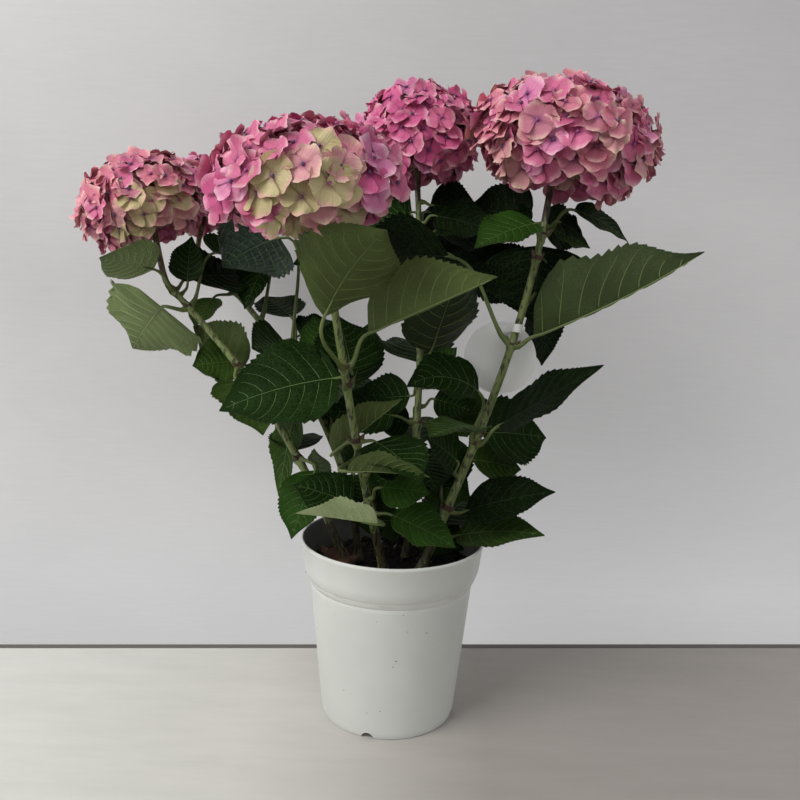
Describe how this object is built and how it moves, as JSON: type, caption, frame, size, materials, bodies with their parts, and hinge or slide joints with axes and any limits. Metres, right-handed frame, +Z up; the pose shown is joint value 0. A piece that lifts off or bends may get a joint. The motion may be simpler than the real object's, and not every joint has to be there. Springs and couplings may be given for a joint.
{
  "type": "potted mophead hydrangea in flower",
  "caption": "Flowering shrub in a round nursery pot: bare-footed canes, broad toothed leaves in pairs, domed flower heads and a blank hang tag.",
  "frame": {"origin": "centre of the flat disc under the pot, which stands on the ground", "axes": "+Z up along the pot's axis; -Y is the side that faces the camera of the picture, +X its right"},
  "size_m": [0.4812, 0.3469, 0.5263],
  "materials": {
    "pot": "satin",
    "soil": "matte",
    "stem": "satin",
    "leaf": "satin",
    "flower": "matte",
    "tag": "satin"
  },
  "bodies": {
    "root": {"cane_a": "stem", "cane_b": "stem", "cane_c": "stem", "cane_d": "stem", "cane_e": "stem", "flower_head_a": "flower", "flower_head_b": "flower", "flower_head_c": "flower", "flower_head_d": "flower", "flower_head_e": "flower", "leaves_a0": "leaf", "leaves_a1": "leaf", "leaves_a2": "leaf", "leaves_a3": "leaf", "leaves_af": "leaf", "leaves_b1": "leaf", "leaves_b2": "leaf", "leaves_b3": "leaf", "leaves_bm": "leaf", "leaves_c0": "leaf", "leaves_c1": "leaf", "leaves_c2": "leaf", "leaves_cf": "leaf", "leaves_d0": "leaf", "leaves_d1": "leaf", "leaves_d2": "leaf", "leaves_d3": "leaf", "leaves_dm": "leaf", "leaves_e1": "leaf", "leaves_e2": "leaf", "leaves_e3": "leaf", "leaves_e4": "leaf", "leaves_ef": "leaf", "leaves_eg": "leaf", "leaves_em": "leaf", "pot": "pot", "soil": "soil", "tag": "tag"}
  },
  "joints": []
}
